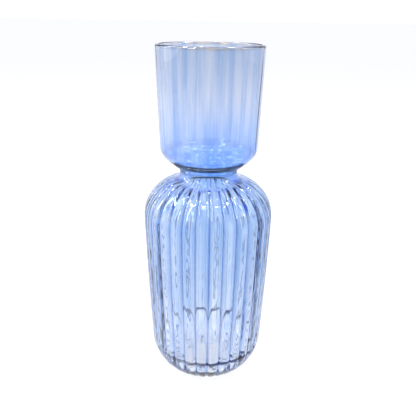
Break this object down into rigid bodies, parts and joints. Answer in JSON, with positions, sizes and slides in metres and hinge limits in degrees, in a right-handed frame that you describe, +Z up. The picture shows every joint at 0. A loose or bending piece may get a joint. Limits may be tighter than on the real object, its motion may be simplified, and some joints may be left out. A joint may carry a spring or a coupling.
{
  "type": "glass vase",
  "caption": "Hourglass vase of clear blue moulded glass: smooth open cup above a pinched waist, over a ribbed body with a rounded heel and a small flat foot.",
  "frame": {"origin": "centre of the flat foot, on the surface that the vase stands on", "axes": "+Z up along the vase's axis, towards the rim; +X through the crest of one rib, +Y through a groove"},
  "size_m": [0.0984, 0.098, 0.26],
  "materials": {
    "blue_glass": "clear, fire-polished, slightly wavy",
    "lip_glass": "polished cut edge with a faint warm tint"
  },
  "bodies": {
    "root": {"rim": "lip_glass", "upper_cup": "blue_glass", "neck": "blue_glass", "ribbed_shoulder": "blue_glass", "ribbed_side": "blue_glass", "base": "blue_glass"}
  },
  "joints": []
}
